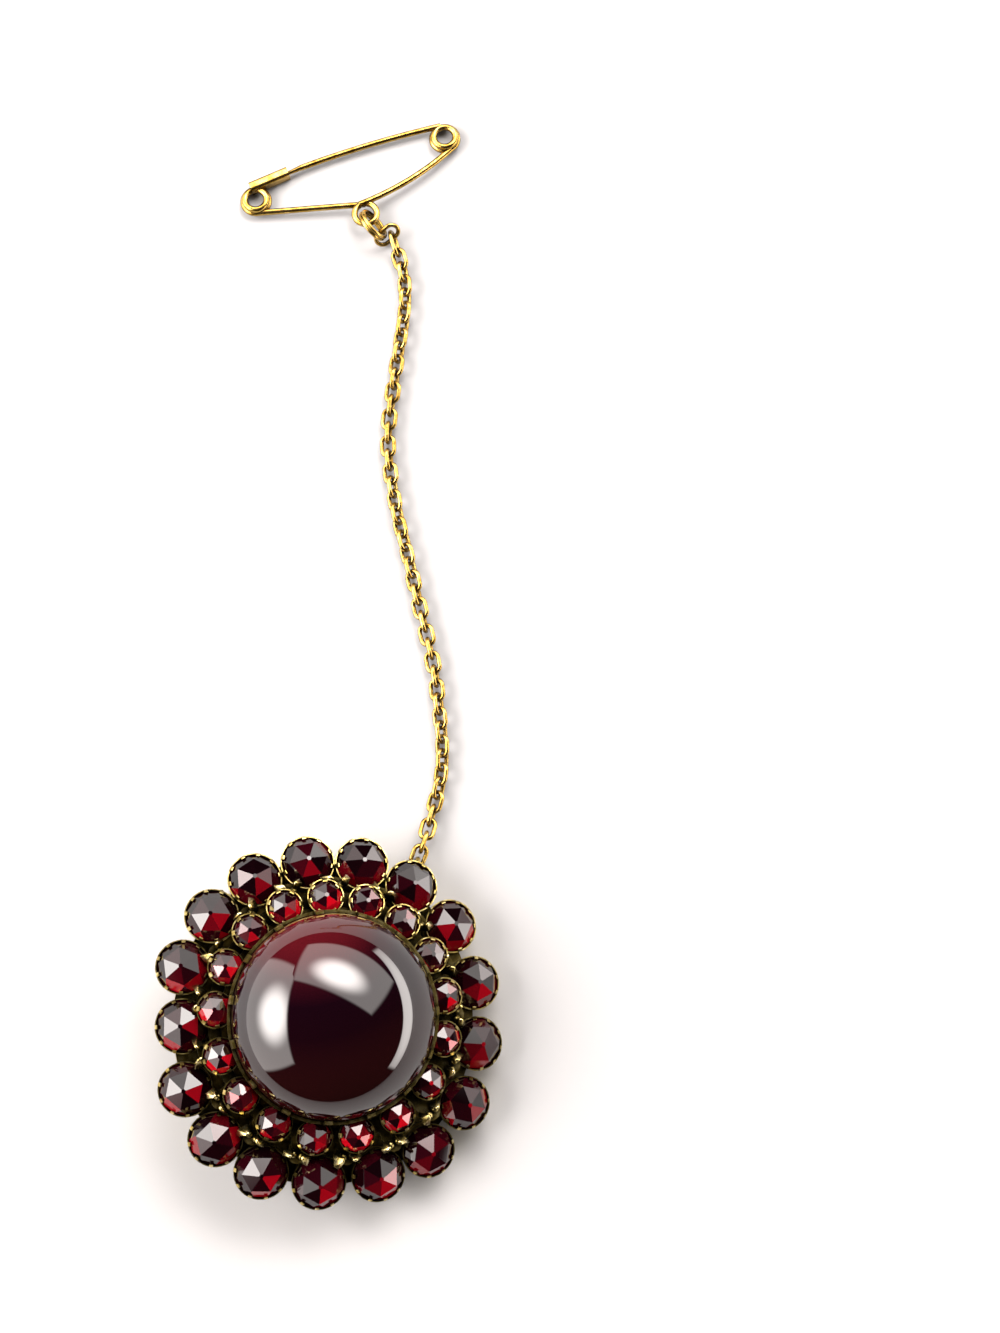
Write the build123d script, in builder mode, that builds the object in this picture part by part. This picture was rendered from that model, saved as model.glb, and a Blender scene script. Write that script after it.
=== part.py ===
# Garnet cluster brooch with a safety chain and a small safety pin, lying on a table.
# Lengths are in millimetres and angles in degrees.
# The head is built upright about its own Z axis, from the underside of its back plate up,
# and is then laid down as it rests: on its hinge and catch at one side, on its rim at the other.
from build123d import *
from math import asin, atan2, ceil, cos, degrees, hypot, radians, sin, tan
import os

# Clearances, and how deep one soldered piece sinks into the next
stone_gap = 0.05
wire_gap = 0.12
solder_sink = 0.02

# Central dome: a cabochon of oval section on a tapered base
cabochon_diameter = 14.8
cabochon_rise = 5.4
cabochon_taper = 0.55
cabochon_base_diameter = 13.4
cabochon_base_height = 0.35

# Garnets: rose cuts with a small table and a flat back
outer_garnet = 3.74
outer_crown = 1.38
outer_back = 0.65
inner_garnet = 2.44
inner_crown = 0.92
inner_back = 0.45
table_diameter = 0.3
star_slope = 25
main_slope = 52
corner_slope = 63
girdle_height = 0.12
back_taper = 35
star_facets = 6

# Claw cups of the garnets
cup_wall = 0.07
cup_rim = 0.2
cup_gap = 0.03
outer_cup_height = 2.2
outer_foot_diameter = 3.2
outer_claws = 10
outer_claw_width = 0.28
outer_claw_height = 0.42
outer_claw_lean = 0.17
outer_lean = 12
inner_cup_height = 1.1
inner_foot_diameter = 1.5
inner_claws = 7
inner_claw_width = 0.32
inner_claw_height = 0.42
inner_claw_lean = 0.18
inner_lean = 10

# Back plate, drum and gallery plate
plate_thickness = 0.7
plate_margin = 0.15
plate_fill = 0.5
drum_diameter = 15.6
drum_wall = 0.5
gallery_height = 2.9
gallery_thickness = 0.4
gallery_rim = 0.45
gallery_bore = 12.0

# Claw bezel of the dome
bezel_height = 2.0
bezel_wall = 0.22
bezel_collar_diameter = 15.9
bezel_collar_height = 0.42
bezel_neck_wall = 0.2
bezel_ledge = 1.0
bezel_rim = 0.15
bezel_claws = 15
bezel_claw_start = 3
bezel_claw_width = 0.62
bezel_claw_height = 0.8
bezel_claw_lean = 0.08

# How far the small garnets tuck under the bezel, and the gaps between the two rings
inner_tuck_x = 0.5
inner_tuck_y = 0.28
ring_gap_x = -0.41
ring_gap_y = 0.14
upper_shift = 0.3

# Grains between the rings, in pairs on lobes of the gallery plate
lobe_inset = 1.85
lobe_diameter = 1.3
grain_diameter = 0.6
grain_spacing = 0.64
grain_height = 0.72

# Hand-set places round the head: angle, reach as a share of the oval, and the way that one
# ridge of the stone's star points
outer_places = [
    (98.2, 0.981, 12), (78.3, 0.989, 0), (58.3, 0.993, 30), (37.4, 1.003, 4), (14.3, 1.002, 27),
    (351.4, 1.005, 57), (329.3, 1.039, 47), (308.4, 1.036, 25), (288.6, 0.991, 33),
    (267.0, 0.975, 30), (246.0, 1.003, 0), (226.0, 1.017, 45), (205.2, 1.014, 20),
    (182.0, 0.955, 30), (160.1, 1.012, 38), (138.8, 1.004, 0), (118.4, 0.993, 34),
]
inner_places = [
    (93.5, 1, 30), (73.3, 1, 12), (53.0, 1, 15), (31.5, 1, 10), (10.2, 1, 30), (349.0, 1, 45),
    (326.5, 1, 30), (304.5, 1, 20), (282.6, 1, 10), (262.2, 1, 30), (241.6, 1, 20), (220.6, 1, 40),
    (199.2, 1, 15), (176.6, 1, 55), (155.4, 1, 55), (134.6, 1, 20), (114.1, 1, 30),
]

# Back fittings, plain: two hinge ears with a rivet, a hooked catch and the pin between them
fitting_x = -7.0
fitting_drop = 3.55
hinge_y = 8.4
catch_y = -8.4
ear_thickness = 0.7
ear_radius = 1.2
rivet_diameter = 0.8
pin_diameter = 0.9
pin_eye_diameter = 2.1
pin_eye_width = 0.9
pin_overhang = 1.6
pin_point_length = 2.5
pin_point_diameter = 0.3
catch_width = 1.6
catch_wall = 0.5
catch_mouth = 1.1

# Chain, and the eye at the head that it hangs on
link_wire = 0.34
link_inner_length = 1.21
link_inner_width = 0.62
end_link_inner_length = 1.62
end_link_inner_width = 0.8
eye_angle = 59.5
eye_diameter = 1.26
eye_wire = 0.38
eye_facing = 70
eye_roll = -10
roll_blend = 5
roll_middle = 26
roll_swing = 15
roll_waves = 2.75

# Route of the chain on the table, from its last loose link to the head.
# Places are measured from the middle of the head, heights to the middle of the chain.
chain_route = [
    (4.72, 59.35, 0.70), (4.96, 58.60, 0.65), (5.24, 57.00, 0.65), (5.18, 54.40, 0.65),
    (4.80, 51.70, 0.65), (4.46, 49.20, 0.65), (4.10, 46.30, 0.65), (3.99, 44.10, 0.65),
    (4.24, 41.60, 0.65), (4.72, 38.70, 0.65), (5.50, 35.60, 0.65), (6.22, 32.50, 0.65),
    (6.98, 29.40, 0.65), (7.60, 26.60, 0.65), (7.98, 23.50, 0.65), (8.25, 20.40, 0.65),
    (8.05, 17.80, 0.68), (7.45, 15.40, 0.80), (6.95, 13.60, 1.15),
]

# Safety pin: its own flat plan, in the same places as the chain's
pin_wire = 0.5
run_wire = 0.48
coil_lower_diameter = 2.0
coil_upper_diameter = 1.7
loop_diameter = 1.74
right_coil = Vector(8.36, 68.90, 0)
left_coil = Vector(-6.46, 63.72, 0)
middle_loop = Vector(2.20, 62.49, 0)
leg_slope = 18.4
leg_bow = 0.2
side_slope = 33.6
side_bow = 0.42
lower_slope = 3.8
sheath_slope = 24.3
sheath_length = 3.2
sheath_width = 0.8
sheath_height = 1.1
sheath_bore = 0.56
sheath_edge = 0.24
leg_point_length = 2.2
leg_point_diameter = 0.16
point_lap = 0.15
point_root = 0.46
low_wire = 0.27
high_wire = 0.58
safety_pin_pitch = 6.5

# Split ring between the safety pin and the chain, two turns of wire
split_ring_diameter = 2.5
split_ring_wire = 0.3
split_ring_pitch = 0.27
split_ring_x = 2.78
split_ring_y = 61.52
split_ring_facing = 33.5
split_ring_lean = 27
ring_hook_angle = 20
first_link_slope = 35
first_link_rise = 0.34
first_link_roll = 45
first_link_reach = 0.64
second_link_roll = 109


def polar(radius, angle, height=0.0):
    return Vector(radius * cos(radians(angle)), radius * sin(radians(angle)), height)


def oval_radius(semi_x, semi_y, angle):
    return 1 / ((cos(radians(angle)) / semi_x) ** 2 + (sin(radians(angle)) / semi_y) ** 2) ** 0.5


# Heights and radii that follow from the sizes above
outer_foot_sink = outer_foot_diameter / 2 * sin(radians(outer_lean)) + solder_sink
inner_foot_sink = inner_foot_diameter / 2 * sin(radians(inner_lean)) + solder_sink
gallery_top = gallery_height + gallery_thickness
outer_girdle = plate_thickness + outer_cup_height * cos(radians(outer_lean)) - outer_foot_sink
inner_girdle = gallery_top + inner_cup_height * cos(radians(inner_lean)) - inner_foot_sink
dome_girdle = gallery_top + bezel_height
bezel_inside = cabochon_diameter / 2 + stone_gap
bezel_outside = bezel_inside + bezel_wall


def ring_rows(places, semi_x, semi_y):
    """The angle and radius of each stone of a ring, with its places on an oval."""
    return [(angle, reach * oval_radius(semi_x, semi_y, angle)) for angle, reach, ridge in places]


def smallest_pitch(places, semi_x, semi_y):
    """The shortest step between neighbours of a ring."""
    spots = [polar(radius, angle) for angle, radius in ring_rows(places, semi_x, semi_y)]
    return min((here - ahead).length for here, ahead in zip(spots, spots[1:] + spots[:1]))


def spread(places, semi_x, semi_y, garnet):
    """How much an oval has to grow so that the cups on it stay clear of each other."""
    cup_diameter = garnet + 2 * (stone_gap + cup_wall)
    return max(1, (cup_diameter + cup_gap) / smallest_pitch(places, semi_x, semi_y))


inner_base_x = bezel_outside + inner_garnet / 2 - inner_tuck_x
inner_base_y = bezel_outside + inner_garnet / 2 - inner_tuck_y
inner_spread = spread(inner_places, inner_base_x, inner_base_y, inner_garnet)
inner_semi_x = inner_base_x * inner_spread
inner_semi_y = inner_base_y * inner_spread
outer_base_x = inner_semi_x + (inner_garnet + outer_garnet) / 2 + ring_gap_x
outer_base_y = inner_semi_y + (inner_garnet + outer_garnet) / 2 + ring_gap_y
outer_spread = spread(outer_places, outer_base_x, outer_base_y, outer_garnet)
outer_semi_x = outer_base_x * outer_spread
outer_semi_y = outer_base_y * outer_spread
outer_foot_shift = outer_cup_height * sin(radians(outer_lean))


def seat(centre, angle, lean):
    """A place whose Z axis leans outwards from the middle of the head."""
    return Plane(
        origin=centre,
        x_dir=polar(cos(radians(lean)), angle, -sin(radians(lean))),
        z_dir=polar(sin(radians(lean)), angle, cos(radians(lean))),
    ).location


outer_rows = ring_rows(outer_places, outer_semi_x, outer_semi_y)
inner_rows = ring_rows(inner_places, inner_semi_x, inner_semi_y)
outer_seats = [seat(polar(radius, angle, outer_girdle), angle, outer_lean) for angle, radius in outer_rows]
inner_seats = [
    seat(polar(radius, angle, inner_girdle) + Vector(0, upper_shift, 0), angle, inner_lean)
    for angle, radius in inner_rows
]


# Garnets

def facet_plane(radius, height, slope, angle):
    """The plane of a facet through a point of this radius and height, falling outwards."""
    return Plane(
        origin=polar(radius, angle, height),
        z_dir=polar(sin(radians(slope)), angle, cos(radians(slope))),
    )


def rose_cut(diameter, crown, back):
    """A garnet with its girdle on the XY plane, cut facet by facet."""
    sides = 2 * star_facets
    half_side = 180 / sides
    side_reach = diameter / 2 * cos(radians(half_side))
    with BuildPart() as gem:
        with BuildSketch(Plane.XY):
            RegularPolygon(diameter / 2, sides, rotation=half_side)
        extrude(amount=crown)
        with BuildSketch(Plane(origin=(0, 0, 0), x_dir=(1, 0, 0), z_dir=(0, 0, -1))):
            RegularPolygon(diameter / 2, sides, rotation=half_side)
        extrude(amount=back, taper=back_taper)
        for number in range(star_facets):
            turn = 360 / star_facets * number
            split(bisect_by=facet_plane(table_diameter / 2, crown, star_slope, turn), keep=Keep.BOTTOM)
            split(bisect_by=facet_plane(side_reach, girdle_height, main_slope, turn), keep=Keep.BOTTOM)
            corner = turn + 180 / star_facets
            split(bisect_by=facet_plane(side_reach, girdle_height, corner_slope, corner), keep=Keep.BOTTOM)
    return gem.part


outer_cut = rose_cut(outer_garnet, outer_crown, outer_back)
inner_cut = rose_cut(inner_garnet, inner_crown, inner_back)


def set_garnets(cut, seats, places):
    """One garnet in each seat, its star turned as its place says."""
    garnets = []
    for place, (angle, reach, ridge) in zip(seats, places):
        with BuildPart() as garnet:
            add(cut.moved(place * Location((0, 0, 0), (0, 0, ridge - angle - 180 / star_facets))))
        garnets.append(garnet)
    return garnets


outer_garnets = set_garnets(outer_cut, outer_seats, outer_places)
inner_garnets = set_garnets(inner_cut, inner_seats, inner_places)


# Cabochon

dome_axis = Axis((0, upper_shift, 0), (0, 0, 1))
dome_plane = Plane(origin=(0, upper_shift, 0), x_dir=(1, 0, 0), z_dir=(0, -1, 0))
taper_foot = dome_girdle - cabochon_taper
dome_base = taper_foot - cabochon_base_height
dome_curve = [
    (cabochon_diameter / 2 * cos(radians(angle)), dome_girdle + cabochon_rise * sin(radians(angle)))
    for angle in (0, 30, 60, 90)
]

with BuildPart() as cabochon:
    with BuildSketch(dome_plane):
        with BuildLine():
            Polyline(
                (0, dome_girdle + cabochon_rise),
                (0, dome_base),
                (cabochon_base_diameter / 2, dome_base),
                (cabochon_base_diameter / 2, taper_foot),
                (cabochon_diameter / 2, dome_girdle),
            )
            Spline(*dome_curve, tangents=[(0, 1), (-1, 0)])
        make_face()
    revolve(axis=dome_axis)


# Claw cups

def claw_cup(diameter, height, foot, claws, claw_width, claw_height, claw_lean):
    """A conical cup, still filled, with its stone's girdle on the XY plane and bent claws on its rim."""
    outside = diameter / 2 + stone_gap + cup_wall
    with BuildPart() as cup:
        with BuildSketch(Plane.XZ):
            with BuildLine():
                Polyline(
                    (0, -height),
                    (foot / 2, -height),
                    (outside, 0),
                    (outside, cup_rim),
                    (outside - claw_lean, claw_height),
                    (0, claw_height),
                    close=True,
                )
            make_face()
        revolve(axis=Axis.Z)
        with BuildSketch(Plane.XY.offset(cup_rim)):
            Circle(outside + cup_wall)
            with PolarLocations(outside - claw_lean / 2, claws):
                Rectangle(claw_lean + 4 * cup_wall, claw_width, mode=Mode.SUBTRACT)
        extrude(amount=claw_height, mode=Mode.SUBTRACT)
    return cup.part


def stone_room(diameter, back, claw_height, claw_lean):
    """The room for a stone and between the claws over it."""
    pocket = diameter / 2 + stone_gap
    floor = back + stone_gap
    with BuildPart() as room:
        with BuildSketch(Plane.XZ):
            with BuildLine():
                Polyline(
                    (0, -floor),
                    (pocket - floor * tan(radians(back_taper)), -floor),
                    (pocket, 0),
                    (pocket, cup_rim),
                    (pocket - claw_lean, claw_height),
                    (pocket - claw_lean, claw_height + cup_wall),
                    (0, claw_height + cup_wall),
                    close=True,
                )
            make_face()
        revolve(axis=Axis.Z)
    return room.part


outer_cup = claw_cup(
    outer_garnet, outer_cup_height, outer_foot_diameter,
    outer_claws, outer_claw_width, outer_claw_height, outer_claw_lean,
)
inner_cup = claw_cup(
    inner_garnet, inner_cup_height, inner_foot_diameter,
    inner_claws, inner_claw_width, inner_claw_height, inner_claw_lean,
)
outer_room = stone_room(outer_garnet, outer_back, outer_claw_height, outer_claw_lean)
inner_room = stone_room(inner_garnet, inner_back, inner_claw_height, inner_claw_lean)


# Bezel of the dome: a collar on the gallery plate, a neck with a ledge, a flare and claws

base_room = cabochon_base_diameter / 2 + stone_gap
neck_radius = base_room + bezel_neck_wall
collar_top = gallery_top + bezel_collar_height
ledge_top = dome_base - stone_gap

with BuildPart() as bezel:
    with BuildSketch(dome_plane):
        with BuildLine():
            Polyline(
                (bezel_collar_diameter / 2, gallery_height),
                (bezel_collar_diameter / 2, collar_top),
                (neck_radius, collar_top),
                (neck_radius, taper_foot),
                (bezel_outside, dome_girdle),
                (bezel_outside, dome_girdle + bezel_rim),
                (bezel_outside - bezel_claw_lean, dome_girdle + bezel_claw_height),
                (bezel_inside - bezel_claw_lean, dome_girdle + bezel_claw_height),
                (bezel_inside, dome_girdle + bezel_rim),
                (bezel_inside, dome_girdle - stone_gap),
                (base_room, taper_foot - stone_gap),
                (base_room, ledge_top),
                (base_room - bezel_ledge, ledge_top),
                (base_room - bezel_ledge, gallery_height),
                close=True,
            )
        make_face()
    revolve(axis=dome_axis)
    with BuildSketch(Plane.XY.offset(dome_girdle + bezel_rim)):
        with Locations((0, upper_shift)):
            Circle(bezel_outside + bezel_wall)
            with PolarLocations(bezel_inside, bezel_claws, start_angle=bezel_claw_start):
                Rectangle(4 * bezel_wall, bezel_claw_width, mode=Mode.SUBTRACT)
    extrude(amount=bezel_claw_height, mode=Mode.SUBTRACT)


# Grain: a short round post with a domed top

grain_radius = grain_diameter / 2
grain_shoulder = grain_height - grain_radius

with BuildPart() as grain:
    with BuildSketch(Plane.XZ):
        with BuildLine():
            Polyline((0, grain_height), (0, 0), (grain_radius, 0), (grain_radius, grain_shoulder))
            CenterArc((0, grain_shoulder), grain_radius, 0, 90)
        make_face()
    revolve(axis=Axis.Z)

lobe_rows = []
for here, ahead in zip(outer_rows, outer_rows[1:] + outer_rows[:1]):
    step = (here[0] - ahead[0]) % 360
    lobe_rows.append((here[0] - step / 2, (here[1] + ahead[1]) / 2 - lobe_inset))

grain_places = []
for angle, radius in lobe_rows:
    lobe = Plane(
        origin=polar(radius, angle, gallery_height + gallery_thickness / 2),
        x_dir=polar(1, angle), z_dir=(0, 0, 1),
    )
    for side in (-1, 1):
        grain_places.append(Location(lobe.from_local_coords(Vector(0, side * grain_spacing / 2, 0))))


# How the head rests: the hinge and catch touch the table, and so does the far rim of the plate

plate_edge = outer_foot_diameter / 2 + plate_margin
rim_reach = plate_edge + max(
    (radius - outer_foot_shift) * cos(radians(angle)) for angle, radius in outer_rows
)
fitting_z = -(fitting_drop - ear_radius)
ear_offset = (pin_eye_width + ear_thickness) / 2 + wire_gap
ear_side = ear_offset + ear_thickness / 2
rest_run = rim_reach - fitting_x - ear_side
head_tilt = degrees(atan2(-fitting_z, rest_run) + asin(ear_radius / hypot(rest_run, fitting_z)))
head_lift = rim_reach * sin(radians(head_tilt))
head_shift = -outer_girdle * sin(radians(head_tilt))
head_place = Location((head_shift, 0, head_lift)) * Location((0, 0, 0), (0, head_tilt, 0))
catch_radius = ear_radius + ear_side * sin(radians(head_tilt))


# Setting: all the soldered gilt metal

eye_row = min(outer_rows, key=lambda row: abs(row[0] - eye_angle))
eye_reach = eye_row[1] - outer_foot_shift + plate_edge + eye_diameter / 2 - eye_wire / 2
eye_centre = polar(eye_reach, eye_angle, plate_thickness / 2)
eye_plane = Plane(origin=eye_centre, x_dir=polar(1, eye_facing), z_dir=polar(1, eye_facing + 90))

with BuildPart() as setting:
    with BuildSketch(Plane.XY):
        Ellipse(outer_semi_x - outer_foot_shift + plate_fill, outer_semi_y - outer_foot_shift + plate_fill)
        with Locations(*[polar(radius - outer_foot_shift, angle) for angle, radius in outer_rows]):
            Circle(plate_edge)
    extrude(amount=plate_thickness)
    with BuildSketch(Plane.XY.offset(plate_thickness / 2)):
        with Locations((0, upper_shift)):
            Circle(drum_diameter / 2)
            Circle(drum_diameter / 2 - drum_wall, mode=Mode.SUBTRACT)
    extrude(amount=gallery_height - plate_thickness / 2)
    with BuildSketch(Plane.XY.offset(gallery_height)):
        with Locations((0, upper_shift)):
            Ellipse(inner_semi_x + gallery_rim, inner_semi_y + gallery_rim)
        for angle, radius in lobe_rows:
            with Locations(polar(radius, angle)):
                Circle(lobe_diameter / 2)
            with Locations(Location(polar(radius - lobe_diameter, angle), (0, 0, angle))):
                Rectangle(2 * lobe_diameter, lobe_diameter)
        with Locations((0, upper_shift)):
            Circle(gallery_bore / 2, mode=Mode.SUBTRACT)
    extrude(amount=gallery_thickness)
    add(bezel.part)
    with Locations(*grain_places):
        add(grain.part)
    with Locations(*outer_seats):
        add(outer_cup)
    with Locations(*inner_seats):
        add(inner_cup)
    with Locations(*outer_seats):
        add(outer_room, mode=Mode.SUBTRACT)
    with Locations(*inner_seats):
        add(inner_room, mode=Mode.SUBTRACT)
    with Locations(eye_plane.location):
        Torus(eye_diameter / 2, eye_wire / 2)
    for side in (-1, 1):
        with BuildSketch(Plane.YZ.offset(fitting_x + side * ear_offset)):
            with Locations((hinge_y, fitting_z / 2)):
                Rectangle(2 * ear_radius, -fitting_z)
            with Locations((hinge_y, fitting_z)):
                Circle(ear_radius)
        extrude(amount=ear_thickness / 2, both=True)
    with BuildSketch(Plane.YZ.offset(fitting_x)):
        with Locations((hinge_y, fitting_z)):
            Circle(rivet_diameter / 2)
    extrude(amount=ear_offset, both=True)
    with BuildSketch(Plane.XZ.offset(-catch_y)):
        with Locations((fitting_x, fitting_z)):
            Circle(catch_radius)
            Circle(catch_radius - catch_wall, mode=Mode.SUBTRACT)
        with Locations((fitting_x + catch_radius, fitting_z)):
            Rectangle(2 * catch_radius, catch_mouth, mode=Mode.SUBTRACT)
        with Locations((fitting_x, (fitting_z + catch_radius - catch_wall) / 2)):
            Rectangle(2 * catch_wall, -(fitting_z + catch_radius - catch_wall))
    extrude(amount=catch_width / 2, both=True)


# Pin at the back: an eye on the rivet, a stem and a point

stem_end = catch_y - pin_overhang

with BuildPart() as brooch_pin:
    with BuildSketch(Plane.YZ.offset(fitting_x)):
        with Locations((hinge_y, fitting_z)):
            Circle(pin_eye_diameter / 2)
    extrude(amount=pin_eye_width / 2, both=True)
    with BuildSketch(Plane(origin=(fitting_x, hinge_y, fitting_z), x_dir=(1, 0, 0), z_dir=(0, -1, 0))):
        Circle(pin_diameter / 2)
    extrude(amount=hinge_y - stem_end - pin_point_length)
    with Locations(Plane(
        origin=(fitting_x, stem_end + pin_point_length, fitting_z), x_dir=(1, 0, 0), z_dir=(0, -1, 0)
    ).location):
        Cone(
            pin_diameter / 2, pin_point_diameter / 2, pin_point_length,
            align=(Align.CENTER, Align.CENTER, Align.MIN),
        )
    with BuildSketch(Plane.YZ.offset(fitting_x)):
        with Locations((hinge_y, fitting_z)):
            Circle(rivet_diameter / 2 + wire_gap)
    extrude(amount=pin_eye_width, both=True, mode=Mode.SUBTRACT)


# Links

def make_link(inner_length, inner_width):
    """An oval link along X, lying flat."""
    half_run = (inner_length - inner_width) / 2
    turn = (inner_width + link_wire) / 2
    with BuildPart() as link:
        with BuildLine() as round_line:
            Line((-half_run, turn), (half_run, turn))
            ThreePointArc((half_run, turn), (half_run + turn, 0), (half_run, -turn))
            Line((half_run, -turn), (-half_run, -turn))
            ThreePointArc((-half_run, -turn), (-half_run - turn, 0), (-half_run, turn))
        with BuildSketch(Plane(origin=(0, turn, 0), z_dir=(1, 0, 0))):
            Circle(link_wire / 2)
        sweep(path=round_line.wires()[0])
    return link.part


link = make_link(link_inner_length, link_inner_width)
end_link = make_link(end_link_inner_length, end_link_inner_width)


def link_place(middle, direction, roll):
    """Where a link lies: its length along direction, its face turned by roll from lying flat."""
    run = direction.normalized()
    face = (Vector(0, 0, 1) - run * run.Z).normalized()
    side = run.cross(face)
    normal = face * cos(radians(roll)) + side * sin(radians(roll))
    return Plane(origin=middle, x_dir=run, z_dir=normal).location


# Split ring: two turns of wire side by side, standing in the middle loop of the safety pin
ring_axis = polar(cos(radians(split_ring_lean)), split_ring_facing, sin(radians(split_ring_lean)))
ring_side = polar(1, split_ring_facing - 90)
ring_height = (
    split_ring_diameter / 2 * cos(radians(split_ring_lean))
    + split_ring_wire / 2 * (1 + sin(radians(split_ring_lean)))
)
ring_centre = Vector(split_ring_x, split_ring_y, ring_height)
ring_plane = Plane(origin=ring_centre, x_dir=ring_side, z_dir=ring_axis)

with BuildPart() as jump_ring:
    for side in (-1, 1):
        with Locations(ring_plane.offset(side * split_ring_pitch / 2).location):
            Torus(split_ring_diameter / 2, split_ring_wire / 2)


# Chain: two large end links at the split ring, then the run of small ones to the eye.
# The first end link goes round both turns of the ring, and the second hangs on its side.

end_half = (end_link_inner_length + link_wire) / 2
end_straight = (end_link_inner_length - end_link_inner_width) / 2
end_turn = (end_link_inner_width + link_wire) / 2
wire_step = link_wire + wire_gap

ring_hook = ring_plane.from_local_coords(polar(split_ring_diameter / 2, ring_hook_angle))
first_run = polar(1, first_link_slope, first_link_rise).normalized()
first_place = link_place(ring_hook + first_run * (end_half - first_link_reach), first_run, first_link_roll)

route_start = Vector(chain_route[0])
first_plane = Plane(first_place)
towards = first_plane.to_local_coords(route_start) - Vector(end_straight, 0, 0)
bend = Vector(end_straight, 0, 0) + polar(end_turn, degrees(atan2(towards.Y, towards.X)))
corner = first_plane.from_local_coords(bend)
second_run = (route_start - corner).normalized()
second_place = link_place(corner + second_run * (end_half - wire_step), second_run, second_link_roll)
loose_end = corner + second_run * (2 * end_half - 1.5 * wire_step)

eye_on_table = Plane(head_place * eye_plane.location)
eye_hook = eye_on_table.origin + eye_on_table.x_dir * (eye_diameter / 2 - (eye_wire + wire_gap) / 2)
route = Spline(loose_end, *chain_route[1:], eye_hook)
link_pairs = ceil((route.length / (link_inner_length - wire_gap) - 1) / 2)
link_count = 2 * link_pairs + 1
link_step = route.length / link_count
hooks = [route.position_at(link_step * number, PositionMode.LENGTH) for number in range(link_count + 1)]

link_places = []
for number in range(link_count):
    free_roll = roll_middle + roll_swing * sin(radians(360 * roll_waves * number / link_count))
    hold = max(0, 1 - (link_count - 1 - number) / roll_blend)
    roll = free_roll + (eye_roll - free_roll) * hold + 90 * (number % 2)
    middle = (hooks[number] + hooks[number + 1]) / 2
    link_places.append(link_place(middle, hooks[number + 1] - hooks[number], roll))

with BuildPart() as chain:
    with Locations(*link_places):
        add(link)
    with Locations(first_place, second_place):
        add(end_link)


# Safety pin

def wire_run(start, finish, bow, through=None):
    """A wire from start to finish, bowed sideways; bow is positive to the left of the run."""
    along = (finish - start).normalized()
    left = Vector(0, 0, 1).cross(along)
    with BuildPart() as run:
        with BuildLine() as line:
            if bow:
                ThreePointArc(start, (start + finish) / 2 + left * bow, finish)
            else:
                Line(start, finish)
        with BuildSketch(Plane(origin=line.edges()[0] @ 0, z_dir=line.edges()[0] % 0)):
            Circle(run_wire / 2)
        sweep(path=line.edges()[0])
    return run.part


coil_reach = coil_lower_diameter / 2
loop_reach = loop_diameter / 2
low_level = Vector(0, 0, low_wire)
high_level = Vector(0, 0, high_wire)
leg_start = right_coil + polar(coil_reach, leg_slope + 90, high_wire)
sheath_start = left_coil + polar(coil_reach, sheath_slope + 90, high_wire)
sheath_mouth = sheath_start + polar(sheath_length, sheath_slope)
leg_end = sheath_mouth + polar(leg_point_length / 2, sheath_slope)
side_start = middle_loop + polar(loop_reach, side_slope + 90, high_wire)
side_finish = right_coil + polar(coil_reach, side_slope - 90, low_wire)
lower_start = left_coil + polar(coil_reach, lower_slope - 90, low_wire)
lower_finish = middle_loop + polar(loop_reach, lower_slope + 90, low_wire)
sheath_plane = Plane(origin=sheath_start, x_dir=(0, 0, 1), z_dir=polar(1, sheath_slope))
point_plane = Plane(origin=leg_end + polar(point_lap, sheath_slope), z_dir=polar(-1, sheath_slope))

with BuildPart() as safety_pin:
    with Locations(right_coil + low_level, left_coil + low_level):
        Torus(coil_lower_diameter / 2, pin_wire / 2)
    with Locations(right_coil + high_level, left_coil + high_level):
        Torus(coil_upper_diameter / 2, pin_wire / 2)
    with Locations(middle_loop + (low_level + high_level) / 2):
        Torus(loop_diameter / 2, pin_wire / 2)
    add(wire_run(leg_start, leg_end, -leg_bow))
    add(wire_run(side_start, side_finish, -side_bow))
    add(wire_run(lower_start, lower_finish, 0))
    with BuildSketch(sheath_plane):
        RectangleRounded(sheath_height, sheath_width, sheath_edge)
    extrude(amount=sheath_length)
    with BuildSketch(sheath_plane.offset(sheath_length - leg_point_length)):
        Circle(sheath_bore / 2)
    extrude(amount=leg_point_length, mode=Mode.SUBTRACT)
    with Locations(point_plane.location):
        Cone(
            point_root / 2, leg_point_diameter / 2, leg_point_length + point_lap,
            align=(Align.CENTER, Align.CENTER, Align.MIN),
        )

leg_axis = Axis(left_coil + polar(coil_reach, 90), right_coil - left_coil)
pitched_pin = safety_pin.part.rotate(leg_axis, -safety_pin_pitch)
pin_settle = Location((0, 0, -pitched_pin.bounding_box().min.Z))


# The whole brooch: every piece where it lies, with the origin under the middle of its box

placed = {"cabochon": cabochon.part.moved(head_place)}
for number, garnet in enumerate(outer_garnets, 1):
    placed[f"outer_garnet_{number:02d}"] = garnet.part.moved(head_place)
for number, garnet in enumerate(inner_garnets, 1):
    placed[f"inner_garnet_{number:02d}"] = garnet.part.moved(head_place)
placed["setting"] = setting.part.moved(head_place)
placed["brooch_pin"] = brooch_pin.part.moved(head_place)
placed["chain"] = chain.part
placed["jump_ring"] = jump_ring.part
placed["safety_pin"] = pitched_pin.moved(pin_settle)

boxes = [piece.bounding_box() for piece in placed.values()]
middle_x = (min(box.min.X for box in boxes) + max(box.max.X for box in boxes)) / 2
middle_y = (min(box.min.Y for box in boxes) + max(box.max.Y for box in boxes)) / 2
to_origin = Location((-middle_x, -middle_y, 0))

os.makedirs("parts", exist_ok=True)
for name, piece in placed.items():
    final = piece.moved(to_origin)
    final.label = name
    export_step(final, f"parts/{name}.step")
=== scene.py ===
import math

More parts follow.
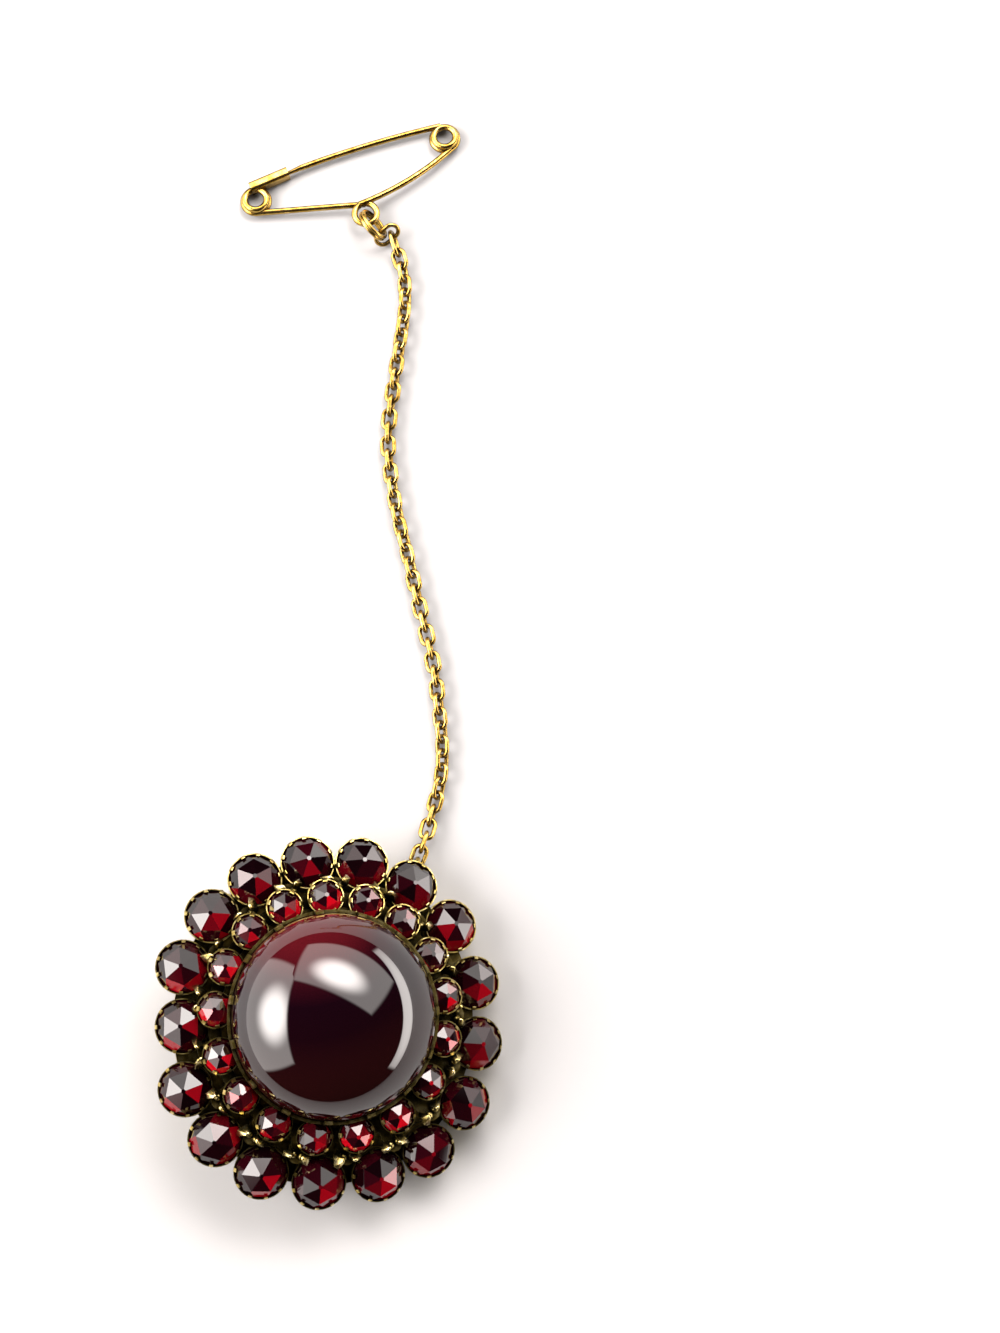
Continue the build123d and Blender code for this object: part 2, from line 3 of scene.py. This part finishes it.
import bmesh
import bpy
from mathutils import Matrix, Vector


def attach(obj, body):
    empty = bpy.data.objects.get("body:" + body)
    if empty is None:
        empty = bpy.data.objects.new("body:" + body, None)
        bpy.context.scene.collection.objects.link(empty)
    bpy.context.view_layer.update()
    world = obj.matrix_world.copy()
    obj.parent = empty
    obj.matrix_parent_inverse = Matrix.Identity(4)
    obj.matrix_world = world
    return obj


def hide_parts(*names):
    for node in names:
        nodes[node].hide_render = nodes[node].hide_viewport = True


# The looks of a garnet cluster brooch with its safety chain, on white card, in metres.

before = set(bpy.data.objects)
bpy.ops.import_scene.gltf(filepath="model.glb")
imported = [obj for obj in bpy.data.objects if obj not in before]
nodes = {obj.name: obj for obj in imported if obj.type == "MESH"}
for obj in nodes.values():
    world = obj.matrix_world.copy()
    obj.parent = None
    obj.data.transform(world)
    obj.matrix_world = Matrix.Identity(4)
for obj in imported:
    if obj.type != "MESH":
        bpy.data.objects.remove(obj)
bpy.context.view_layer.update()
MM = 0.001

# The middle of the head on the table, how far the head leans, and where its own zero lies
HEAD = Vector((-0.158, -28.332, 0)) * MM
HEAD_TILT = math.radians(11.202)
HEAD_ZERO = HEAD + Vector((-0.4855, 0, 2.392)) * MM
HEAD_TURN = Matrix.Translation(HEAD_ZERO) @ Matrix.Rotation(HEAD_TILT, 4, "Y")

# The dome, as in the part, with as many steps round it and up it as make it look smooth
DOME_RADIUS = 7.4 * MM
DOME_RISE = 5.4 * MM
DOME_GIRDLE = 5.3 * MM
DOME_TAPER = 0.55 * MM
DOME_FOOT_RADIUS = 6.7 * MM
DOME_FOOT = 0.35 * MM
DOME_SHIFT = 0.3 * MM
DOME_STEPS_ROUND = 192
DOME_STEPS_UP = 96

# The leaf claws: their level on the head, their size, how far they stand aside from the middle of a
# gap, how many degrees they splay and lean there, and how their size goes up and down round the ring
LEAF_LEVEL = 3.5 * MM
LEAF_LONG = 1.3 * MM
LEAF_WIDE = 0.78 * MM
LEAF_HIGH = 0.8 * MM
LEAF_TIP_SHARE = 0.28
LEAF_SIDES = 5
LEAF_ASIDE = 0.55 * MM
LEAF_SPLAY = 38
LEAF_LEAN = 24
LEAF_EDGE = 0.07 * MM
LEAF_SIZE_CHANGE = 0.18
LEAF_SIZE_RHYTHM = 2.7

# Each gap between the cups: its angle in degrees, its radius in mm and its twist in degrees
LEAF_PLACES = [
    (88, 10.2, 20), (68, 10.1, -30), (47.5, 9.9, 40), (26, 9.6, 0), (3, 9.5, 25), (340.5, 9.6, -20),
    (318.5, 9.9, 30), (298, 10.0, -10), (277.5, 9.95, 35), (256, 9.9, -25), (235.5, 9.9, 15),
    (215, 9.9, 40), (193.5, 9.75, -15), (171, 9.75, 10), (149.5, 9.9, -35), (128.5, 10.1, 25),
    (108, 10.2, -10),
]

# Gilt: how near other metal has to be for painted shade to darken it, how fine and deep the wear is,
# and where in its noise the tones change
SHADE_REACH = 1.3 * MM
SHADE_SAMPLES = 6
WEAR_DETAIL = 5.0
WEAR_FINENESS = 0.6
WEAR_DEPTH = 0.04 * MM
WEAR_STRENGTH = 0.3
DARK_UP_TO = 0.30
MIDDLE_AT = 0.46
LIGHT_FROM = 0.66

# A mix node's colour sockets share their names with its other sockets, so they go by number
MIX_FIRST = 6
MIX_SECOND = 7
MIX_RESULT = 2

# Garnet: an IOR between those of pyrope and almandine
GARNET_IOR = 1.76
GARNET_CLEARNESS = 0.3

# Facets whose normals round to the same step share one tone. Chance gives most of the tone, and the
# facets that face down and to the right get more of it, a painted glow of light come through the stone.
FACET_STEP = 0.11
FACET_CHANCE = 0.7
FACET_PAINTED_GLOW = 0.3
FACET_LEAST = 0.13
FACET_PAINTED_GLOW_WAY = (0.35, -0.85, 0)
DEEP_UP_TO = 0.32
DEPTH_MIDDLE = 0.64
CLEAR_FROM = 0.97

# The dome's colour has a painted glow, brightest around this spot, under its upper edge, and less and
# less up to the far distance
PAINTED_GLOW_SPOT = HEAD + Vector((-1.0, 6.0, 9.0)) * MM
PAINTED_GLOW_NEAR = 1.0 * MM
PAINTED_GLOW_FAR = 13.0 * MM

# The camera stands and looks as the one of the photograph did. Its lens follows from the focal
# length and the height of the photograph, both in pixels, on a film 36 mm high.
CAMERA_PLACE = HEAD + Vector((10.34, 0.04, 182)) * MM
CAMERA_RIGHT = Vector((0.99992, -0.00182, 0.01237))
CAMERA_UP = Vector((0, 0.98933, 0.14571))
CAMERA_BACK = Vector((-0.01250, -0.14570, 0.98925))
FOCAL_PIXELS = 2400
PHOTO_PIXELS_HIGH = 1333
FILM_HIGH = 36
CLIP_NEAR = 0.005
CLIP_FAR = 5

# The light panels stand this far from the middle of the dome. A panel's core keeps its full glow up
# to a share of the core's radius and fades out at another, and its edge starts to fade at a share of
# its width and height.
DOME_MIDDLE = HEAD + Vector((0.54, 0.3, 7.6)) * MM
PANEL_DISTANCE = 0.6
CORE_FULL = 0.35
CORE_END = 1.9
EDGE_START = 0.84
FLOOR_REACH = 1.5
ROOM_GLOW = 0.03


# Helpers

def color(hex_text):
    """A scene-linear colour from an sRGB hex text."""
    parts = [int(hex_text[i:i + 2], 16) / 255 for i in (1, 3, 5)]
    linear = [c / 12.92 if c <= 0.04045 else ((c + 0.055) / 1.055) ** 2.4 for c in parts]
    return (*linear, 1.0)


def new_material(name):
    """A material, its tree and its one shader."""
    material = bpy.data.materials.new(name)
    material.use_nodes = True
    tree = material.node_tree
    return material, tree, tree.nodes["Principled BSDF"]


def set_inputs(node, inputs):
    """Links a node's inputs to the sockets given, and sets those that are given a plain value."""
    for key, value in inputs.items():
        if isinstance(value, bpy.types.NodeSocket):
            node.id_data.links.new(value, node.inputs[key])
        else:
            node.inputs[key].default_value = value


def add_node(tree, kind, inputs=None, stops=(), **settings):
    """A node with its settings and inputs and, for a ramp, its stops of a place and a hex colour."""
    node = tree.nodes.new(kind)
    for key, value in settings.items():
        setattr(node, key, value)
    set_inputs(node, inputs or {})
    for number, (place, hex_text) in enumerate(stops):
        elements = node.color_ramp.elements
        element = elements[number] if number < len(elements) else elements.new(place)
        element.position = place
        element.color = color(hex_text)
    return node


def new_piece(name, build, material, smooth=True):
    """An object at the origin from a finished bmesh."""
    mesh = bpy.data.meshes.new(name)
    bmesh.ops.recalc_face_normals(build, faces=build.faces)
    for face in build.faces:
        face.smooth = smooth
    build.to_mesh(mesh)
    build.free()
    mesh.materials.append(material)
    piece = bpy.data.objects.new(name, mesh)
    bpy.context.collection.objects.link(piece)
    return piece


def dress(node_name, material):
    """Gives a CAD node its material."""
    piece = nodes[node_name]
    piece.data.materials.clear()
    piece.data.materials.append(material)


# Materials

def gilt(name, light, middle, dark, painted_shade, roughness, patch_size, shade_power):
    """Gilt metal: bright and dull patches from wear, as wide as patch_size, and painted shade in
    recesses.
    """
    material, tree, shader = new_material(name)
    place = add_node(tree, "ShaderNodeTexCoord")
    patches = add_node(tree, "ShaderNodeTexNoise", {
        "Vector": place.outputs["Object"], "Scale": 1 / patch_size, "Detail": WEAR_DETAIL,
        "Roughness": WEAR_FINENESS,
    })
    tone = add_node(
        tree, "ShaderNodeValToRGB", {"Fac": patches.outputs["Fac"]},
        stops=[(DARK_UP_TO, dark), (MIDDLE_AT, middle), (LIGHT_FROM, light)],
    )
    # Painted shade: the colour darkens towards a dark tone wherever other metal is near, in recesses,
    # gaps and where links touch.
    open_space = add_node(
        tree, "ShaderNodeAmbientOcclusion", {"Distance": SHADE_REACH}, samples=SHADE_SAMPLES,
    )
    unshaded = add_node(tree, "ShaderNodeMath", {
        0: open_space.outputs["AO"], 1: shade_power,
    }, operation="POWER")
    wear_and_shade = add_node(tree, "ShaderNodeMix", {
        "Factor": unshaded.outputs["Value"], MIX_FIRST: color(painted_shade), MIX_SECOND: tone.outputs["Color"],
    }, data_type="RGBA")
    dents = add_node(tree, "ShaderNodeBump", {
        "Height": patches.outputs["Fac"], "Strength": WEAR_STRENGTH, "Distance": WEAR_DEPTH,
    })
    set_inputs(shader, {
        "Base Color": wear_and_shade.outputs[MIX_RESULT], "Metallic": 1.0, "Roughness": roughness,
        "Normal": dents.outputs["Normal"],
    })
    return material


def cut_garnet(name, clear, middle, deep, shine):
    """Rose-cut garnet, ground and polished: each flat facet is its own tone of red, or nearly black,
    and those facing down and to the right get a painted glow.
    """
    material, tree, shader = new_material(name)
    face = add_node(tree, "ShaderNodeNewGeometry")
    facet = add_node(tree, "ShaderNodeVectorMath", {
        0: face.outputs["True Normal"], 1: (FACET_STEP, FACET_STEP, FACET_STEP),
    }, operation="SNAP")
    chance = add_node(
        tree, "ShaderNodeTexWhiteNoise", {"Vector": facet.outputs["Vector"]}, noise_dimensions="3D",
    )
    # Painted glow: facets that face down and to the right are pushed towards the clear red.
    side = add_node(tree, "ShaderNodeVectorMath", {
        0: face.outputs["True Normal"], 1: FACET_PAINTED_GLOW_WAY,
    }, operation="DOT_PRODUCT")
    start = add_node(tree, "ShaderNodeMath", {
        0: side.outputs["Value"], 1: FACET_PAINTED_GLOW, 2: FACET_LEAST,
    }, operation="MULTIPLY_ADD")
    brightness = add_node(tree, "ShaderNodeMath", {
        0: chance.outputs["Value"], 1: FACET_CHANCE, 2: start.outputs["Value"],
    }, operation="MULTIPLY_ADD")
    tone = add_node(
        tree, "ShaderNodeValToRGB", {"Fac": brightness.outputs["Value"]},
        stops=[(DEEP_UP_TO, deep), (DEPTH_MIDDLE, middle), (CLEAR_FROM, clear)],
    )
    set_inputs(shader, {
        "Base Color": tone.outputs["Color"], "Roughness": 0.015, "IOR": GARNET_IOR,
        "Specular IOR Level": shine, "Transmission Weight": GARNET_CLEARNESS,
    })
    return material


def dome_garnet(name):
    """Garnet cabochon, ground round and polished: nearly black, with a painted wine red glow on one
    side.
    """
    material, tree, shader = new_material(name)
    place = add_node(tree, "ShaderNodeTexCoord")
    # Painted glow: the colour is wine red near a spot under the upper edge and nearly black further
    # away.
    spot = add_node(tree, "ShaderNodeVectorMath", {
        0: place.outputs["Object"], 1: PAINTED_GLOW_SPOT,
    }, operation="DISTANCE")
    away = add_node(tree, "ShaderNodeMapRange", {
        "Value": spot.outputs["Value"], "From Min": PAINTED_GLOW_NEAR, "From Max": PAINTED_GLOW_FAR,
    }, interpolation_type="SMOOTHERSTEP")
    tone = add_node(tree, "ShaderNodeValToRGB", {"Fac": away.outputs["Result"]}, stops=[
        (0.0, "#3c080e"), (0.2, "#1e0308"), (0.42, "#0b0105"), (0.7, "#0c0104"), (1.0, "#180404"),
    ])
    set_inputs(shader, {
        "Base Color": tone.outputs["Color"], "Roughness": 0.03, "IOR": GARNET_IOR,
        "Specular IOR Level": 0.4,
    })
    return material


def white_card(name):
    """Smooth white card, pressed: an even pale ground without shine, on which soft shadows show."""
    material, tree, shader = new_material(name)
    set_inputs(shader, {"Base Color": color("#a3a3a4"), "Roughness": 0.6, "Specular IOR Level": 0.2})
    return material


def lit_cloth(name, stand, half_size, glow, core_place, core_half_size, core_glow):
    """The lit cloth of a light panel: brightest in an oval core, with edges that fade to nothing."""
    material, tree, shader = new_material(name)
    tree.nodes.remove(shader)
    place = add_node(tree, "ShaderNodeTexCoord")
    offset = add_node(tree, "ShaderNodeMapping", {
        "Vector": place.outputs["Object"], "Location": stand.translation, "Rotation": stand.to_euler(),
    }, vector_type="TEXTURE")
    from_core = add_node(tree, "ShaderNodeVectorMath", {
        0: offset.outputs["Vector"], 1: (*core_place, 0),
    }, operation="SUBTRACT")
    oval = add_node(tree, "ShaderNodeVectorMath", {
        0: from_core.outputs["Vector"], 1: (*core_half_size, 1),
    }, operation="DIVIDE")
    core_share = add_node(
        tree, "ShaderNodeVectorMath", {0: oval.outputs["Vector"]}, operation="LENGTH",
    )
    brightness = add_node(tree, "ShaderNodeMapRange", {
        "Value": core_share.outputs["Value"], "From Min": CORE_FULL, "From Max": CORE_END,
        "To Min": core_glow, "To Max": glow,
    }, interpolation_type="SMOOTHERSTEP")
    across = add_node(tree, "ShaderNodeVectorMath", {
        0: offset.outputs["Vector"], 1: (*half_size, 1),
    }, operation="DIVIDE")
    unsigned = add_node(
        tree, "ShaderNodeVectorMath", {0: across.outputs["Vector"]}, operation="ABSOLUTE",
    )
    sides = add_node(tree, "ShaderNodeSeparateXYZ", {"Vector": unsigned.outputs["Vector"]})
    edge_share = add_node(tree, "ShaderNodeMath", {
        0: sides.outputs["X"], 1: sides.outputs["Y"],
    }, operation="MAXIMUM")
    fade = add_node(tree, "ShaderNodeMapRange", {
        "Value": edge_share.outputs["Value"], "From Min": EDGE_START, "From Max": 1.0,
        "To Min": 1.0, "To Max": 0.0,
    }, interpolation_type="SMOOTHERSTEP")
    strength = add_node(tree, "ShaderNodeMath", {
        0: brightness.outputs["Result"], 1: fade.outputs["Result"],
    }, operation="MULTIPLY")
    light = add_node(tree, "ShaderNodeEmission", {
        "Color": color("#fff8f4"), "Strength": strength.outputs["Value"],
    })
    set_inputs(tree.nodes["Material Output"], {"Surface": light.outputs["Emission"]})
    return material


# Stage

def make_floor():
    build = bmesh.new()
    bmesh.ops.create_grid(build, x_segments=1, y_segments=1, size=FLOOR_REACH)
    new_piece("floor", build, white_card("matt_white_card"), smooth=False)


def make_camera():
    data = bpy.data.cameras.new("camera")
    camera = bpy.data.objects.new("camera", data)
    bpy.context.collection.objects.link(camera)
    turn = Matrix((CAMERA_RIGHT, CAMERA_UP, CAMERA_BACK)).transposed().to_4x4()
    turn.translation = CAMERA_PLACE
    camera.matrix_world = turn
    data.sensor_fit = "VERTICAL"
    data.sensor_height = FILM_HIGH
    data.lens = FOCAL_PIXELS * FILM_HIGH / PHOTO_PIXELS_HIGH
    data.clip_start = CLIP_NEAR
    data.clip_end = CLIP_FAR
    bpy.context.scene.camera = camera


def reach(degrees):
    """How far across a panel an angle at the dome reaches."""
    return PANEL_DISTANCE * math.tan(math.radians(degrees))


def make_panel(name, place, size, glow, core_place, core_size, core_glow):
    """A light panel that the camera doesn't see. Its place is its azimuth and elevation from the dome,
    its size is its width and height, its core's place is from its own middle, all in degrees."""
    azimuth, elevation = [math.radians(angle) for angle in place]
    stand = Matrix.Translation(DOME_MIDDLE)
    stand @= Matrix.Rotation(azimuth, 4, "Z") @ Matrix.Rotation(-elevation, 4, "Y")
    stand @= Matrix.Translation((PANEL_DISTANCE, 0, 0))
    stand @= Matrix.Rotation(math.radians(90), 4, "Y") @ Matrix.Rotation(math.radians(90), 4, "Z")
    half_size = [reach(angle / 2) for angle in size]
    cloth = lit_cloth(
        name, stand, half_size, glow,
        [reach(angle) for angle in core_place], [reach(angle / 2) for angle in core_size], core_glow,
    )
    build = bmesh.new()
    bmesh.ops.create_grid(build, x_segments=1, y_segments=1, size=1)
    bmesh.ops.scale(build, vec=(*half_size, 1), verts=build.verts)
    bmesh.ops.transform(build, matrix=stand, verts=build.verts)
    panel = new_piece(name, build, cloth, smooth=False)
    panel.visible_camera = False


def make_room():
    world = bpy.data.worlds.new("room")
    bpy.context.scene.world = world
    world.use_nodes = True
    background = world.node_tree.nodes["Background"]
    set_inputs(background, {"Color": color("#c8bcc4"), "Strength": ROOM_GLOW})


# Pieces

def make_dome(material):
    """The cabochon with a finer surface."""
    build = bmesh.new()
    bmesh.ops.create_uvsphere(
        build, u_segments=DOME_STEPS_ROUND, v_segments=DOME_STEPS_UP, radius=1,
    )
    bmesh.ops.scale(build, vec=(DOME_RADIUS, DOME_RADIUS, DOME_RISE), verts=build.verts)
    bmesh.ops.bisect_plane(
        build, geom=build.verts[:] + build.edges[:] + build.faces[:],
        plane_co=(0, 0, 0), plane_no=(0, 0, 1), clear_inner=True,
    )
    # Below the girdle it tapers to its foot, which goes straight down
    for radius_share, drop in ((DOME_FOOT_RADIUS / DOME_RADIUS, DOME_TAPER), (1, DOME_FOOT)):
        edge = [e for e in build.edges if e.is_boundary]
        ring = bmesh.ops.extrude_edge_only(build, edges=edge)["geom"]
        verts = [v for v in ring if isinstance(v, bmesh.types.BMVert)]
        bmesh.ops.scale(build, vec=(radius_share, radius_share, 1), verts=verts)
        bmesh.ops.translate(build, vec=(0, 0, -drop), verts=verts)
    bmesh.ops.holes_fill(build, edges=[e for e in build.edges if e.is_boundary])
    seat = HEAD_TURN @ Matrix.Translation((0, DOME_SHIFT, DOME_GIRDLE))
    bmesh.ops.transform(build, matrix=seat, verts=build.verts)
    dome = new_piece("dome", build, material)
    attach(dome, "root")
    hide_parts("cabochon")


def make_leaf_claws(material):
    """Bent scraps of gilt, two to a gap between the cups, each a stub of a cone with soft edges."""
    build = bmesh.new()
    for number, (angle, radius, twist) in enumerate(LEAF_PLACES):
        gap = HEAD_TURN @ Matrix.Rotation(math.radians(angle), 4, "Z")
        for side in (-1, 1):
            leaf = bmesh.ops.create_cone(
                build, cap_ends=True, segments=LEAF_SIDES,
                radius1=0.5, radius2=0.5 * LEAF_TIP_SHARE, depth=1,
            )["verts"]
            grow = 1 + LEAF_SIZE_CHANGE * math.sin(LEAF_SIZE_RHYTHM * number + side)
            bmesh.ops.scale(build, vec=(LEAF_LONG * grow, LEAF_WIDE, LEAF_HIGH * grow), verts=leaf)
            spot = Matrix.Translation((radius * MM, side * LEAF_ASIDE, LEAF_LEVEL + LEAF_HIGH / 2))
            spin = Matrix.Rotation(math.radians(side * LEAF_SPLAY + twist), 4, "Z")
            lean = Matrix.Rotation(math.radians(side * LEAF_LEAN), 4, "X")
            bmesh.ops.transform(build, matrix=gap @ spot @ spin @ lean, verts=leaf)
    bmesh.ops.bevel(
        build, geom=build.edges[:], offset=LEAF_EDGE, segments=2, profile=0.5, affect="EDGES",
        material=-1,
    )
    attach(new_piece("leaf_claws", build, material), "root")


make_camera()
make_floor()
make_panel(
    "left_softbox", place=(178, 28), size=(96, 66), glow=3.6,
    core_place=(0, 16), core_size=(38, 32), core_glow=19,
)
make_panel(
    "top_softbox", place=(66, 44), size=(84, 52), glow=2.9,
    core_place=(2, 7), core_size=(36, 20), core_glow=19,
)
make_panel(
    "right_strip", place=(8, 7), size=(96, 15), glow=4.6,
    core_place=(0, 0), core_size=(70, 14), core_glow=9,
)
make_room()

# Old gilt sheet, sawn and soldered: dull yellow, with painted shade that goes nearly black between the
# cups
sheet_gilt = gilt(
    "worn_old_gilt", light="#d8c688", middle="#a8944f", dark="#7c6836", painted_shade="#0c0803",
    roughness=0.3, patch_size=0.45 * MM, shade_power=3.4,
)
# Old gilt that stands proud and is rubbed: pale and bright, with less painted shade
rubbed_gilt = gilt(
    "rubbed_old_gilt", light="#f4e6b4", middle="#cdb972", dark="#7d6a36", painted_shade="#1c1408",
    roughness=0.24, patch_size=0.4 * MM, shade_power=1.6,
)
# Gilt wire, drawn and bent: smoother and a warmer yellow, with painted brown shade only where the links
# touch
wire_gilt = gilt(
    "drawn_gilt_wire", light="#cfae64", middle="#b59345", dark="#8a6929", painted_shade="#3c2a10",
    roughness=0.24, patch_size=0.6 * MM, shade_power=2.0,
)
# The large stones are deeper, so most facets are nearly black and the others a dark red
outer_garnet = cut_garnet(
    "rose_cut_garnet", clear="#900513", middle="#220208", deep="#0a0103", shine=0.2,
)
# The small stones are thin, so more light comes through them and they glow a clear red
inner_garnet = cut_garnet(
    "small_rose_cut_garnet", clear="#c4081a", middle="#3e050d", deep="#140105", shine=0.3,
)

for name in nodes:
    if name.startswith("outer_garnet"):
        dress(name, outer_garnet)
    elif name.startswith("inner_garnet"):
        dress(name, inner_garnet)
for name in ("setting", "brooch_pin"):
    dress(name, sheet_gilt)
for name in ("chain", "jump_ring", "safety_pin"):
    dress(name, wire_gilt)
make_dome(dome_garnet("cabochon_garnet"))
make_leaf_claws(rubbed_gilt)

bpy.context.scene.view_settings.view_transform = "Standard"
